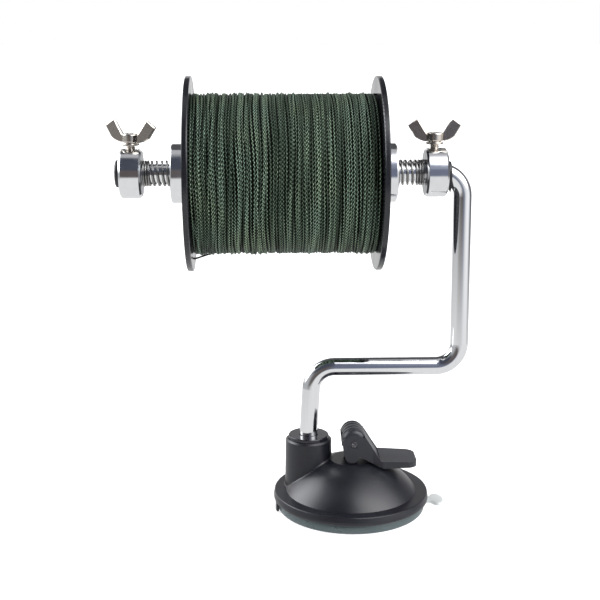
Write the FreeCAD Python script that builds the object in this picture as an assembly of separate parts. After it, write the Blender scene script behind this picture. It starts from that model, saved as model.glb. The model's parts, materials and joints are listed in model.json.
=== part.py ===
"""Line spool stand on a suction base.

A polished 8 mm rod rises from a post on a suction base, bends twice and ends in a
horizontal axle.  Two sprung cones hold a line spool on the axle, and each spring is
backed by a collar that a wing screw clamps on the rod.

Frame: millimetres, +Z up.  The origin is the centre of the suction pad's face, on the
surface that the stand sits on.  +X runs along the axle, from the capped end of the rod
to its upright, and the user stands on the -Y side.
"""
import FreeCAD, Part
import math
import os

Vector = FreeCAD.Vector
X_AXIS = Vector(1, 0, 0)
Y_AXIS = Vector(0, 1, 0)
Z_AXIS = Vector(0, 0, 1)
FIT = 0.06                     # radial clearance of a running fit

# Rod
ROD_R = 4.0
PLANE_Y = 5.0                  # the rod's plane, behind the pad's centre
POST_X = -18.7
LEG_Z = 63.3                   # the lower horizontal run
LEG_TOP_X = -17.1              # the leg leans in above the post
LEAN_FROM = 1.0                # how far above the post's ring it starts to lean
UPRIGHT_X = 47.85              # at its foot, and at its top, where it leans in
UPRIGHT_TOP_X = 47.2
AXLE_Z = 149.1
BEND_R = 10.2
ROD_FOOT_Z = 10.0

# Spool and its line
SPOOL_X = -29.3
SPOOL_HALF = 41.05
SPOOL_DROP = 0.45              # the spool hangs on the cones' noses by its hub's play
FLANGE_R = 41.1
FLANGE_T = 2.4
FLANGE_EDGE = 0.5
HUB_HOLE_R = 9.85
CORE_R = 20.0
CORE_WALL = 2.4
WINDING_R = 33.8
LINE_R = 0.5
TAIL_HOLE_AT = 36.4
TAIL_HOLE_R = 0.8
TAIL_RUN = 7.6                 # how far along the winding the tail starts
TAIL_PROUD = 1.6               # how far it stands out of the flange

# Cones, springs and collars, measured outwards from the spool's middle
SEAT_GAP = 0.05
CONE_R = 12.6
CONE_T = 6.6
CONE_EDGE = 0.9
CONE_LIP_EDGE = 0.3
CONE_NOSE_R = 9.3
CONE_TIP_R = 6.6
CONE_NOSE = 9.0
SPRING_WIRE_R = 0.5
SPRING_R = 5.1
SPRING_DEAD_TURNS = 2.3
SPRING_LIVE_TURNS = 4.2
COLLAR_IN = 60.0
COLLAR_W = 9.2
COLLAR_R = 10.45
COLLAR_CHAMFER = 0.8
SCREW_AT = {-1: 64.5, 1: 63.9}  # each wing screw's axis
SPOT_R = 3.4
SPOT_DEPTH = 0.65
RELIEF_R = 4.85                # room for the start of the bend in the right collar
RELIEF_DEPTH = 3.2

# Wing screws, heights above the axle
STUD_R = 2.0
STUD_FOOT = 4.05
STUD_TIP_EDGE = 0.4
WASHER_Z = 12.0
WASHER_T = 0.95
WASHER_R = 3.65
WASHER_EDGE = 0.3
NECK_R = 2.6
HUB_Z = 13.25
HUB_TOP_Z = 16.95
HUB_SIDE_R = 3.65
HUB_ROUND = 0.7
DISH_DEPTH = 0.7
DISH_R = 2.3
DISH_FLOOR_R = 1.5
WING_ROOT = (2.0, 13.3)        # distance out from the screw's axis, and height
WING_BELLY = (5.6, 13.7)
WING_ELBOW = (8.4, 15.3)
WING_TIP_LOW = (11.3, 20.0)
WING_TIP_HIGH = (7.3, 23.0)
WING_INNER = (3.2, 16.2)
WING_ROOT_HIGH = (2.0, 16.0)
WING_ROOT_HALF = 1.45          # half thickness at the foot and at the tip
WING_TIP_HALF = 0.85
WING_BEVEL = 0.35
LEFT_STAND = (-18.0, 2.2, 0.15)    # turn and lean in degrees, and how far it is screwed in
RIGHT_STAND = (-5.0, -1.0, 0.0)

# Rod end cap and stop ring
CAP_R = 5.9
CAP_LENGTH = 2.0
CAP_WALL = 1.1
CAP_EDGE = 1.2
CAP_GAP = 0.15
RING_R = 5.3
RING_T = 1.8
RING_GAP = 0.1

# Suction base
PAD_R = 32.9
PAD_T = 4.1
PAD_LIP_EDGE = 0.6
PAD_LIP_IN = 0.3               # how far the lip's upper edge lies inside its rim
PAD_LIP_W = 4.5
PAD_CROWN_R = 26.0
PAD_CROWN_T = 3.4
TAB_REACH = 42.2
TAB_END_R = 3.1
TAB_END_WIDER = 1.9            # the oval end's width over its length
TAB_NECK_HALF = 2.2
TAB_Z = 0.3
TAB_T = 1.6
TAB_TURN = 3.0
SKIRT_R = 34.4
SKIRT_Z = 4.1
SKIRT_BAND = 1.9
SKIRT_ROUND = 1.2              # how far its lower edge is rounded under
RIM_R = 34.0
RIM_Z = 8.3
RIM_EDGE = 0.45
DOME_R = 29.0
WALL = 2.4
SEAT_R = 9.3
SEAT_Z = 22.2
GUIDE_R = 6.0
GUIDE_Z = 13.0
NUB_TURN = 191.0
NUB_HALF = 1.3
NUB_Z = 0.6
NUB_HEIGHT = 4.4
NUB_OUT_R = 34.15
NUB_DEPTH = 1.0
POST_R = 10.2
POST_DRAFT = 1.0               # degrees
POST_Z = 30.6
POST_EDGE = 0.7
POST_FILLET = 0.8              # where the post meets the dome and the rim
POST_CAP_R = 8.95
POST_CAP_Z = 32.2
POST_CAP_EDGE = 0.35
POST_CAP_SLEEVE_R = 6.4
POST_CAP_DEPTH = 6.0
POST_CAP_LEAD = 0.4            # lead-in chamfer round the rod

# Stem and cam lever
PIN_X = 0.8
PIN_Z = 31.2
PIN_R = 1.5
PIN_HALF = 7.9
PIN_EDGE = 0.2
STEM_R = 3.0
STEM_HOLE_R = 3.4
STEM_SHAFT_Z = 25.7            # where the shaft gives way to the flat neck
STEM_NECK_HALF = 2.7
STEM_EYE_R = 3.1
STEM_HALF = 2.1
STEM_DISC_R = 14.0
STEM_DISC_T = 1.8
LEVER_HALF = 8.0
BARREL_R = 5.2
BARREL_DZ = 1.5                # the barrel and what follows are placed from the pin
BARREL_ROUND = 2.4
LOBE_DX = -0.9
LOBE_DZ = -5.4
LOBE_R = 3.1
CHEEK_T = 3.4
SLOT_HALF = 2.5
GROOVES_Y = (-4.6, -1.6, 1.6, 4.6)
GROOVE_HALF = 0.45
GROOVE_DEPTH = 0.4
FLANK = (-4.5, -4.6)           # left edge of the cheek, above the lobe
NOTCH = (3.5, -6.1)            # top of the notch between the lobe and the heel
HEEL = (11.4, -10.4)
HEEL_END = (14.2, -10.8)
ELBOW = (11.8, -7.5)
TIP_TOP = (27.9, -8.2)
TIP_LOW = (27.9, -10.7)
WEB_TOP = (4.6, 3.9)
CHEEK_TOP = ((5.2, 2.8), (3.0, 3.6), (0.0, 3.9), (-3.0, 3.2), (-5.2, 1.9))
WEB_T = 1.8
WEB_SINK = 0.8                 # how far the web lies below its two rims
PADDLE_ROOT_HALF = 9.2
PADDLE_TIP_HALF = 8.3
PADDLE_CORNER = 4.2
PADDLE_RIM = 1.9


def save(shape, node):
    """Write one sub-part."""
    shape.exportStep("parts/%s.step" % node)


def disc(radius, thickness, foot, axis=Z_AXIS):
    """A plain cylinder that starts at foot and runs along axis."""
    return Part.makeCylinder(radius, thickness, foot, axis)


def on_axle(x):
    """A point on the axle's centre line."""
    return Vector(x, PLANE_Y, AXLE_Z)


def on_spool(x):
    """A point on the spool's centre line, just below the axle's."""
    return Vector(x, PLANE_Y, AXLE_Z - SPOOL_DROP)


def along(side, distance):
    """X at a distance outwards from the spool's middle, on side -1 or +1."""
    return SPOOL_X + side * distance


def revolve(points, foot, axis_direction, radial_direction):
    """Turn an outline of (along, radius) points about an axis through foot."""
    corners = [foot + axis_direction * a + radial_direction * r for a, r in points]
    face = Part.Face(Part.makePolygon(corners + corners[:1]))
    return face.revolve(foot, axis_direction, 360)


def circle_edges(shape, radius, axis_direction):
    """Edges that are full circles of this radius about this direction."""
    found = []
    for edge in shape.Edges:
        curve = edge.Curve
        if curve.TypeId != "Part::GeomCircle":
            continue
        if abs(curve.Radius - radius) > 1e-4:
            continue
        if abs(abs(curve.Axis.dot(axis_direction)) - 1) < 1e-6:
            found.append(edge)
    return found


# ---------------------------------------------------------------- suction base

def dome_centre():
    """Centre height and radius of the sphere through the dome's seat and foot."""
    rise = SEAT_Z - RIM_Z
    below = (DOME_R ** 2 - SEAT_R ** 2 - rise ** 2) / (2 * rise)
    return RIM_Z - below, math.hypot(DOME_R, below)


def dome_arc(offset, low_z, high_z):
    """Arc of the dome, moved inwards by offset, between two heights."""
    centre_z, radius = dome_centre()
    radius -= offset

    def at(z):
        return Vector(math.sqrt(radius ** 2 - (z - centre_z) ** 2), 0, z)

    return Part.Arc(at(low_z), at((low_z + high_z) / 2), at(high_z))


def base_housing():
    """Skirt, flat rim and dome, with the post for the rod and the stem's guide."""
    outer = dome_arc(0, RIM_Z, SEAT_Z)
    inner_low = RIM_Z - WALL
    inner_high = SEAT_Z - WALL
    inner = dome_arc(WALL, inner_low, inner_high)
    skirt_in = RIM_R - WALL
    run = [Vector(skirt_in, 0, SKIRT_Z), Vector(SKIRT_R, 0, SKIRT_Z),
           Vector(SKIRT_R, 0, SKIRT_Z + SKIRT_BAND), Vector(RIM_R, 0, RIM_Z)]
    edges = [Part.makeLine(a, b) for a, b in zip(run, run[1:])]
    edges.append(Part.makeLine(run[-1], outer.StartPoint))
    edges.append(outer.toShape())
    tail = [outer.EndPoint, Vector(STEM_HOLE_R, 0, SEAT_Z), Vector(STEM_HOLE_R, 0, GUIDE_Z),
            Vector(GUIDE_R, 0, GUIDE_Z), Vector(GUIDE_R, 0, inner_high), inner.EndPoint]
    edges += [Part.makeLine(a, b) for a, b in zip(tail, tail[1:])]
    edges.append(inner.toShape())
    close = [inner.StartPoint, Vector(skirt_in, 0, inner_low), run[0]]
    edges += [Part.makeLine(a, b) for a, b in zip(close, close[1:])]
    face = Part.Face(Part.Wire(Part.__sortEdges__(edges)))
    shell = face.revolve(Vector(0, 0, 0), Z_AXIS, 360)
    shell = shell.makeFillet(RIM_EDGE, circle_edges(shell, RIM_R, Z_AXIS))
    foot = [e for e in circle_edges(shell, SKIRT_R, Z_AXIS)
            if e.CenterOfMass.z < SKIRT_Z + 0.1]
    shell = shell.makeFillet(SKIRT_ROUND, foot)
    shell = shell.fuse(post_body()).removeSplitter()
    shell = shell.makeFillet(POST_FILLET, post_seam(shell)).fuse(nub()).removeSplitter()
    sleeve = disc(POST_CAP_SLEEVE_R, POST_CAP_DEPTH + 1, post_point(POST_Z - POST_CAP_DEPTH))
    return shell.cut(sleeve).cut(disc(ROD_R, 60, post_point(ROD_FOOT_Z)))


def post_point(z):
    """A point on the post's centre line."""
    return Vector(POST_X, PLANE_Y, z)


def post_body():
    """Drafted round post, rounded at its top, reaching down through the dome."""
    foot_z = RIM_Z - WALL
    grow = (POST_Z - foot_z) * math.tan(math.radians(POST_DRAFT))
    post = Part.makeCone(POST_R + grow, POST_R, POST_Z - foot_z, post_point(foot_z), Z_AXIS)
    return post.makeChamfer(POST_EDGE, circle_edges(post, POST_R, Z_AXIS))


def post_seam(shell):
    """The edges where the post's side meets the dome and the rim from above."""
    side = [f for f in shell.Faces if f.Surface.TypeId == "Part::GeomCone"
            and (f.Surface.Center - post_point(0)).cross(Z_AXIS).Length < 0.1
            and f.BoundBox.ZMax > POST_Z - 2]
    return [e for f in side for e in f.Edges
            if e.CenterOfMass.z < POST_Z - 2 and not e.isSeam(f)]


def nub():
    """Small locating nub that hangs from the skirt outside the pad's lip."""
    block = Part.makeBox(NUB_DEPTH, 2 * NUB_HALF, NUB_HEIGHT,
                         Vector(NUB_OUT_R - NUB_DEPTH, -NUB_HALF, NUB_Z))
    block.rotate(Vector(0, 0, 0), Z_AXIS, NUB_TURN)
    return block


def post_cap():
    """Raised ring on the post, with a sleeve that holds the rod."""
    top = disc(POST_CAP_R, POST_CAP_Z - POST_Z, post_point(POST_Z))
    upper = [e for e in circle_edges(top, POST_CAP_R, Z_AXIS)
             if e.CenterOfMass.z > POST_CAP_Z - 0.1]
    top = top.makeFillet(POST_CAP_EDGE, upper)
    sleeve = disc(POST_CAP_SLEEVE_R, POST_CAP_DEPTH, post_point(POST_Z - POST_CAP_DEPTH))
    ring = top.fuse(sleeve).removeSplitter()
    ring = ring.cut(disc(ROD_R, 20, post_point(POST_Z - POST_CAP_DEPTH - 1)))
    lead = Part.makeCone(ROD_R, ROD_R + POST_CAP_LEAD, POST_CAP_LEAD,
                         post_point(POST_CAP_Z - POST_CAP_LEAD), Z_AXIS)
    return ring.cut(lead)


def suction_pad():
    """Soft pad: a flat face, a thin lip, a thicker crown and a pull tab."""
    crown = revolve([(0, 0), (0, PAD_R - PAD_LIP_EDGE), (PAD_LIP_EDGE, PAD_R),
                     (PAD_T, PAD_R - PAD_LIP_IN), (PAD_T, PAD_R - PAD_LIP_W),
                     (PAD_CROWN_T, PAD_CROWN_R), (PAD_CROWN_T, 0)],
                    Vector(0, 0, 0), Z_AXIS, X_AXIS)
    root = PAD_R - 3
    neck = Part.makeBox(TAB_REACH - TAB_END_R - root, 2 * TAB_NECK_HALF, TAB_T,
                        Vector(root, -TAB_NECK_HALF, TAB_Z))
    end = disc(TAB_END_R, TAB_T, Vector(0, 0, TAB_Z))
    stretch = FreeCAD.Matrix()
    stretch.scale(1.0, TAB_END_WIDER, 1.0)
    end = end.transformGeometry(stretch)
    end.translate(Vector(TAB_REACH - TAB_END_R, 0, 0))
    tab = neck.fuse(end)
    tab.rotate(Vector(0, 0, 0), Z_AXIS, TAB_TURN)
    return crown.fuse(tab).removeSplitter()


# ------------------------------------------------------------ stem and cam lever

def pin_point(dx=0.0, y=0.0, dz=0.0):
    """A point placed from the lever's pin."""
    return Vector(PIN_X + dx, y, PIN_Z + dz)


def pull_stem():
    """Disc bonded to the pad, shaft through the dome and a flat eye for the pin."""
    stem = disc(STEM_DISC_R, STEM_DISC_T, Vector(0, 0, PAD_CROWN_T))
    stem = stem.fuse(disc(STEM_R, STEM_SHAFT_Z - PAD_CROWN_T, Vector(0, 0, PAD_CROWN_T)))
    neck_z = STEM_SHAFT_Z - 1
    neck = Part.makeBox(2 * STEM_NECK_HALF, 2 * STEM_HALF, PIN_Z - neck_z,
                        Vector(PIN_X - STEM_NECK_HALF, -STEM_HALF, neck_z))
    eye = disc(STEM_EYE_R, 2 * STEM_HALF, pin_point(y=-STEM_HALF), Y_AXIS)
    stem = stem.fuse([neck, eye]).removeSplitter()
    return stem.cut(disc(PIN_R, 2 * LEVER_HALF, pin_point(y=-LEVER_HALF), Y_AXIS))


def lever_pin():
    """Steel pivot pin through the stem's eye and both cheeks."""
    pin = disc(PIN_R, 2 * PIN_HALF, pin_point(y=-PIN_HALF), Y_AXIS)
    return pin.makeChamfer(PIN_EDGE, circle_edges(pin, PIN_R, Y_AXIS))


def plate(points, y_low, y_high):
    """A plate with this outline of (dx, dz) from the pin, between two Y values."""
    corners = [pin_point(dx, y_low, dz) for dx, dz in points]
    face = Part.Face(Part.makePolygon(corners + corners[:1]))
    return face.extrude(Vector(0, y_high - y_low, 0))


def side_profile(y_low, y_high):
    """The lever's whole side view: lobe, heel, paddle edge and web, between two Y values."""
    return plate([FLANK, (LOBE_DX - LOBE_R, LOBE_DZ), (LOBE_DX + LOBE_R, LOBE_DZ),
                  NOTCH, HEEL, HEEL_END, TIP_LOW, TIP_TOP, ELBOW, WEB_TOP,
                  *CHEEK_TOP], y_low, y_high)


def plan_outline():
    """The lever seen from above: straight cheeks, then a paddle that narrows to its tip."""
    cheek_end = HEEL[0] - 3.0
    root = ELBOW[0] + 0.7
    tip = TIP_TOP[0]
    half = [(-BARREL_R - 1, LEVER_HALF), (cheek_end, LEVER_HALF), (root, PADDLE_ROOT_HALF),
            (tip, PADDLE_TIP_HALF)]
    outline = half + [(x, -y) for x, y in reversed(half)]
    floor_z = SEAT_Z - 5
    corners = [Vector(PIN_X + x, y, floor_z) for x, y in outline]
    face = Part.Face(Part.makePolygon(corners + corners[:1]))
    prism = face.extrude(Vector(0, 0, PIN_Z + BARREL_DZ + BARREL_R + 1 - floor_z))
    ends = [e for e in prism.Edges if abs(e.tangentAt(e.FirstParameter).z) > 0.9
            and e.CenterOfMass.x > PIN_X + tip - 0.1]
    return prism.makeFillet(PADDLE_CORNER, ends)


def under_paddle():
    """The hollow below the web and the paddle, inside the rim."""
    run = ELBOW[0] - WEB_TOP[0]
    fall = WEB_TOP[1] - ELBOW[1]
    drop = WEB_T * math.hypot(run, fall) / run
    start = HEEL[0] - 3.2
    roof = WEB_TOP[1] - (start - WEB_TOP[0]) * fall / run - drop
    floor_z = ELBOW[1] - WEB_T
    corner = start + (roof - floor_z) * run / fall
    end = TIP_TOP[0] - PADDLE_RIM
    deep = HEEL_END[1] - 5
    half = LEVER_HALF - 1.0
    return plate([(start, deep), (start, roof), (corner, floor_z),
                  (end, TIP_TOP[1] - WEB_T), (end, deep)], -half, half)


def web_sink():
    """What is cut away above the web so that it lies between two rims."""
    half = LEVER_HALF - 1.4
    out = 6.0
    return plate([(WEB_TOP[0] + 0.3, WEB_TOP[1] - WEB_SINK), (ELBOW[0] - 0.4, ELBOW[1]),
                  (ELBOW[0] + out, ELBOW[1] + out), (WEB_TOP[0] + out, WEB_TOP[1] + out)],
                 -half, half)


def barrel():
    """The round back of the lever, with rounded ends and grooves round it."""
    body = disc(BARREL_R, 2 * LEVER_HALF, pin_point(0, -LEVER_HALF, BARREL_DZ), Y_AXIS)
    body = body.makeFillet(BARREL_ROUND, circle_edges(body, BARREL_R, Y_AXIS))
    for middle in GROOVES_Y:
        foot = pin_point(0, middle - GROOVE_HALF, BARREL_DZ)
        ring = disc(BARREL_R + 1, 2 * GROOVE_HALF, foot, Y_AXIS)
        core = disc(BARREL_R - GROOVE_DEPTH, 2 * GROOVE_HALF, foot, Y_AXIS)
        body = body.cut(ring.cut(core))
    return body


def cam_lever():
    """Cheeks, barrel, web and paddle, with the slot that the stem swings through."""
    blank = side_profile(-PADDLE_ROOT_HALF, PADDLE_ROOT_HALF).common(plan_outline())
    middle = plate([(-BARREL_R, -20), (HEEL[0] - 3.2, -20), (BARREL_R, BARREL_DZ),
                    (-BARREL_R, BARREL_DZ)], CHEEK_T - LEVER_HALF, LEVER_HALF - CHEEK_T)
    blank = blank.cut(middle).cut(under_paddle()).cut(web_sink())
    lobes = [disc(LOBE_R, CHEEK_T, pin_point(LOBE_DX, y, LOBE_DZ), Y_AXIS)
             for y in (-LEVER_HALF, LEVER_HALF - CHEEK_T)]
    lever = barrel().fuse(lobes + [blank])
    room = STEM_EYE_R + 0.35
    swing = plate([(-20, -20), (room, -20), (room, 0), (0, room), (-20, room)],
                  -SLOT_HALF, SLOT_HALF)
    swing = swing.fuse(disc(room, 2 * SLOT_HALF, pin_point(y=-SLOT_HALF), Y_AXIS))
    lever = lever.cut(swing).removeSplitter()
    return lever.cut(disc(PIN_R + FIT, 2 * LEVER_HALF, pin_point(y=-LEVER_HALF), Y_AXIS))


# ------------------------------------------------------------------------- rod

def rod_path():
    """Centre line of the rod, from its foot in the post to its capped end."""
    end_x = along(-1, COLLAR_IN + COLLAR_W + CAP_GAP + CAP_LENGTH - CAP_WALL)
    corners = [Vector(x, PLANE_Y, z) for x, z in
               ((POST_X, ROD_FOOT_Z), (POST_X, POST_CAP_Z + LEAN_FROM), (LEG_TOP_X, LEG_Z),
                (UPRIGHT_X, LEG_Z), (UPRIGHT_TOP_X, AXLE_Z), (end_x, AXLE_Z))]
    pieces = []
    reached = corners[0]
    for before, corner, after in zip(corners, corners[1:], corners[2:]):
        back = (before - corner).normalize()
        ahead = (after - corner).normalize()
        half = back.getAngle(ahead) / 2
        run = BEND_R / math.tan(half)
        start = corner + back * run
        end = corner + ahead * run
        middle = corner + (back + ahead).normalize() * (BEND_R / math.sin(half) - BEND_R)
        pieces.append(Part.makeLine(reached, start))
        pieces.append(Part.Arc(start, middle, end).toShape())
        reached = end
    pieces.append(Part.makeLine(reached, corners[-1]))
    return Part.Wire(pieces)


def rod_sweep(path, radius):
    """A round bar of this radius along the rod's path."""
    profile = Part.Wire(Part.makeCircle(radius, post_point(ROD_FOOT_Z), Z_AXIS))
    return path.makePipeShell([profile], True, False)


def bent_rod():
    """The polished rod, swept along its path."""
    path = rod_path()
    rod = rod_sweep(path, ROD_R)
    print("rod volume", rod.Volume, "section times length",
          math.pi * ROD_R ** 2 * path.Length)
    return rod


def rod_end_cap():
    """Domed cap pushed over the end of the rod."""
    face_x = along(-1, COLLAR_IN + COLLAR_W + CAP_GAP)
    cap = disc(CAP_R, CAP_LENGTH, on_axle(face_x), X_AXIS * -1)
    outer = [e for e in circle_edges(cap, CAP_R, X_AXIS)
             if abs(e.CenterOfMass.x - face_x) > 0.1]
    cap = cap.makeFillet(CAP_EDGE, outer)
    return cap.cut(disc(ROD_R, CAP_LENGTH - CAP_WALL, on_axle(face_x), X_AXIS * -1))


def stop_ring(rod):
    """Rubber ring that backs the right collar and follows the start of the rod's bend."""
    face_x = along(1, COLLAR_IN + COLLAR_W + RING_GAP)
    slab = Part.makeBox(RING_T, 4 * RING_R, 4 * RING_R,
                        Vector(face_x, PLANE_Y - 2 * RING_R, AXLE_Z - 2 * RING_R))
    return rod_sweep(rod_path(), RING_R).common(slab).cut(rod)


# ----------------------------------------------------- collars and wing screws

def collar(side):
    """Clamp collar with a spot face and a threaded hole for its wing screw."""
    inner_x = along(side, COLLAR_IN)
    body = disc(COLLAR_R, COLLAR_W, on_axle(inner_x), X_AXIS * side)
    body = body.makeChamfer(COLLAR_CHAMFER, circle_edges(body, COLLAR_R, X_AXIS))
    body = body.cut(disc(ROD_R + FIT, COLLAR_W, on_axle(inner_x), X_AXIS * side))
    axis_x = along(side, SCREW_AT[side])
    spot = disc(SPOT_R, 5, Vector(axis_x, PLANE_Y, AXLE_Z + COLLAR_R - SPOT_DEPTH))
    hole = disc(STUD_R + FIT, COLLAR_R, Vector(axis_x, PLANE_Y, AXLE_Z))
    body = body.cut(spot).cut(hole)
    if side > 0:
        relief_x = along(side, COLLAR_IN + COLLAR_W - RELIEF_DEPTH)
        body = body.cut(disc(RELIEF_R, RELIEF_DEPTH, on_axle(relief_x), X_AXIS))
    return body


def screw_point(side, height):
    """A point on a wing screw's axis, at a height above the axle."""
    return Vector(along(side, SCREW_AT[side]), PLANE_Y, AXLE_Z + height)


def screw_stud(side, sunk):
    """Threaded shank of a wing screw, drawn plain, with its pressing tip."""
    length = WASHER_Z - sunk - STUD_FOOT
    stud = disc(STUD_R, length, screw_point(side, STUD_FOOT))
    tip = [e for e in circle_edges(stud, STUD_R, Z_AXIS)
           if e.CenterOfMass.z < AXLE_Z + STUD_FOOT + 0.1]
    return stud.makeChamfer(STUD_TIP_EDGE, tip)


def wing_outline(sign):
    """Outline of one wing, from the hub out to its flat tip, as a closed wire."""
    def at(place):
        return Vector(sign * place[0], -WING_ROOT_HALF, place[1])

    corners = [at(p) for p in (WING_ELBOW, WING_TIP_LOW, WING_TIP_HIGH, WING_INNER,
                               WING_ROOT_HIGH, WING_ROOT)]
    belly = Part.Arc(at(WING_ROOT), at(WING_BELLY), at(WING_ELBOW)).toShape()
    return Part.Wire([belly] + [Part.makeLine(a, b) for a, b in zip(corners, corners[1:])])


def wing_half(height):
    """Half the wings' thickness at a height: they taper from foot to tip."""
    share = (height - WING_ROOT[1]) / (WING_TIP_HIGH[1] - WING_ROOT[1])
    return WING_ROOT_HALF + share * (WING_TIP_HALF - WING_ROOT_HALF)


def wing(sign):
    """One wing, tapered and bevelled all round its two faces."""
    slab = Part.Face(wing_outline(sign)).extrude(Vector(0, 2 * WING_ROOT_HALF, 0))
    low, high = WING_ROOT[1], WING_TIP_HIGH[1]
    span = 2 * WING_TIP_LOW[0]
    corners = [Vector(-span / 2, y, z) for y, z in
               ((-wing_half(low), low), (wing_half(low), low),
                (wing_half(high), high), (-wing_half(high), high))]
    taper = Part.Face(Part.makePolygon(corners + corners[:1])).extrude(Vector(span, 0, 0))
    solid = slab.common(taper)
    bevel = []
    for edge in solid.Edges:
        middle = edge.CenterOfMass
        ends = [vertex.Point for vertex in edge.Vertexes]
        on_face = all(abs(abs(end.y) - wing_half(end.z)) < 1e-3 for end in ends)
        flat = (ends[0].y > 0) == (ends[-1].y > 0)
        if on_face and flat and middle.x * sign > HUB_SIDE_R:
            bevel.append(edge)
    return solid.makeChamfer(WING_BEVEL, bevel)


def wing_head(side, turn, lean, sunk):
    """Washer face, rounded hub with a dished top and two wings."""
    hub = disc(HUB_SIDE_R, HUB_TOP_Z - HUB_Z, Vector(0, 0, HUB_Z))
    hub = hub.makeFillet(HUB_ROUND, circle_edges(hub, HUB_SIDE_R, Z_AXIS))
    upper = hub.fuse([wing(1), wing(-1)]).removeSplitter()
    upper = upper.cut(Part.makeCone(DISH_FLOOR_R, DISH_R, DISH_DEPTH,
                                    Vector(0, 0, HUB_TOP_Z - DISH_DEPTH), Z_AXIS))
    upper.rotate(Vector(0, 0, HUB_Z), Y_AXIS, lean)
    washer = disc(WASHER_R, WASHER_T, Vector(0, 0, WASHER_Z))
    washer = washer.makeFillet(WASHER_EDGE, circle_edges(washer, WASHER_R, Z_AXIS))
    neck = disc(NECK_R, HUB_Z + HUB_ROUND - WASHER_Z, Vector(0, 0, WASHER_Z))
    head = upper.fuse([washer, neck]).removeSplitter()
    head.rotate(Vector(0, 0, 0), Z_AXIS, turn)
    head.translate(screw_point(side, -sunk))
    return head


# ------------------------------------------------------------ springs and cones

def spring(side):
    """Compression spring: dead turns against the collar, live turns to the cone."""
    start = COLLAR_IN - 0.02 - SPRING_WIRE_R
    end = SPOOL_HALF + SEAT_GAP + CONE_T + 0.02 + SPRING_WIRE_R
    turns = SPRING_DEAD_TURNS + SPRING_LIVE_TURNS + 0.5
    dead_pitch = 2 * SPRING_WIRE_R + 0.06
    dead = SPRING_DEAD_TURNS * dead_pitch
    last = 0.5 * dead_pitch
    live = start - end - dead - last
    steps_per_turn = 14
    points = []
    for step in range(int(turns * steps_per_turn) + 1):
        turn = step / steps_per_turn
        if turn < SPRING_DEAD_TURNS:
            distance = start - turn * dead_pitch
        elif turn < SPRING_DEAD_TURNS + SPRING_LIVE_TURNS:
            share = (turn - SPRING_DEAD_TURNS) / SPRING_LIVE_TURNS
            eased = share - math.sin(2 * math.pi * share) * 0.02
            distance = start - dead - eased * live
        else:
            distance = start - dead - live - (turn - turns + 0.5) * dead_pitch
        angle = 2 * math.pi * turn * side
        points.append(on_axle(along(side, distance))
                      + Vector(0, SPRING_R * math.sin(angle), SPRING_R * math.cos(angle)))
    curve = Part.BSplineCurve()
    curve.interpolate(points)
    edge = curve.toShape()
    tangent = edge.tangentAt(edge.FirstParameter)
    profile = Part.Wire(Part.makeCircle(SPRING_WIRE_R, points[0], tangent))
    coil = Part.Wire(edge).makePipeShell([profile], True, True)
    print("spring volume", coil.Volume, "section times length",
          math.pi * SPRING_WIRE_R ** 2 * edge.Length)
    return coil


def cone(side):
    """Flanged cone: its nose centres the spool and its flange bears on the spool."""
    face = SPOOL_HALF + SEAT_GAP
    points = [(-CONE_NOSE, ROD_R + FIT), (-CONE_NOSE, CONE_TIP_R), (0, CONE_NOSE_R),
              (0, CONE_R), (CONE_T, CONE_R), (CONE_T, ROD_R + FIT)]
    body = revolve(points, on_axle(along(side, face)), X_AXIS * side, Z_AXIS)
    outer = [e for e in circle_edges(body, CONE_R, X_AXIS)
             if abs(e.CenterOfMass.x - along(side, face + CONE_T)) < 0.1]
    inner = [e for e in circle_edges(body, CONE_R, X_AXIS)
             if abs(e.CenterOfMass.x - along(side, face)) < 0.1]
    return body.makeFillet(CONE_EDGE, outer).makeFillet(CONE_LIP_EDGE, inner)


# ---------------------------------------------------------------- spool and line

def spool_flange(side):
    """Thin disc with a hub hole and, on the left, a small hole for the line's end."""
    inner = SPOOL_HALF - FLANGE_T
    body = disc(FLANGE_R, FLANGE_T, on_spool(along(side, inner)), X_AXIS * side)
    body = body.makeFillet(FLANGE_EDGE, circle_edges(body, FLANGE_R, X_AXIS))
    body = body.cut(disc(HUB_HOLE_R, FLANGE_T, on_spool(along(side, inner)), X_AXIS * side))
    if side < 0:
        hole = on_spool(along(side, inner - 1)) - Z_AXIS * TAIL_HOLE_AT
        body = body.cut(disc(TAIL_HOLE_R, FLANGE_T + 2, hole, X_AXIS * side))
    return body


def spool_core():
    """Hollow barrel between the flanges."""
    half = SPOOL_HALF - FLANGE_T
    barrel = disc(CORE_R, 2 * half, on_spool(SPOOL_X - half), X_AXIS)
    return barrel.cut(disc(CORE_R - CORE_WALL, 2 * half, on_spool(SPOOL_X - half), X_AXIS))


def line_winding():
    """The wound line, drawn as one closed sleeve on the core."""
    half = SPOOL_HALF - FLANGE_T - 0.05
    sleeve = disc(WINDING_R, 2 * half, on_spool(SPOOL_X - half), X_AXIS)
    return sleeve.cut(disc(CORE_R, 2 * half, on_spool(SPOOL_X - half), X_AXIS))


def line_tail():
    """The line's free end, from the winding to and through the left flange."""
    flange_in = along(-1, SPOOL_HALF - FLANGE_T)
    start = on_spool(flange_in + TAIL_RUN) - Z_AXIS * (WINDING_R + LINE_R + 0.05)
    bend = on_spool(flange_in + 1.2) - Z_AXIS * TAIL_HOLE_AT
    end = on_spool(flange_in - FLANGE_T - TAIL_PROUD) - Z_AXIS * TAIL_HOLE_AT
    run = bend - start
    tail = disc(LINE_R, run.Length, start, run)
    tail = tail.fuse([disc(LINE_R, (end - bend).Length, bend, end - bend),
                      Part.makeSphere(LINE_R, bend)])
    return tail.removeSplitter()


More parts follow.
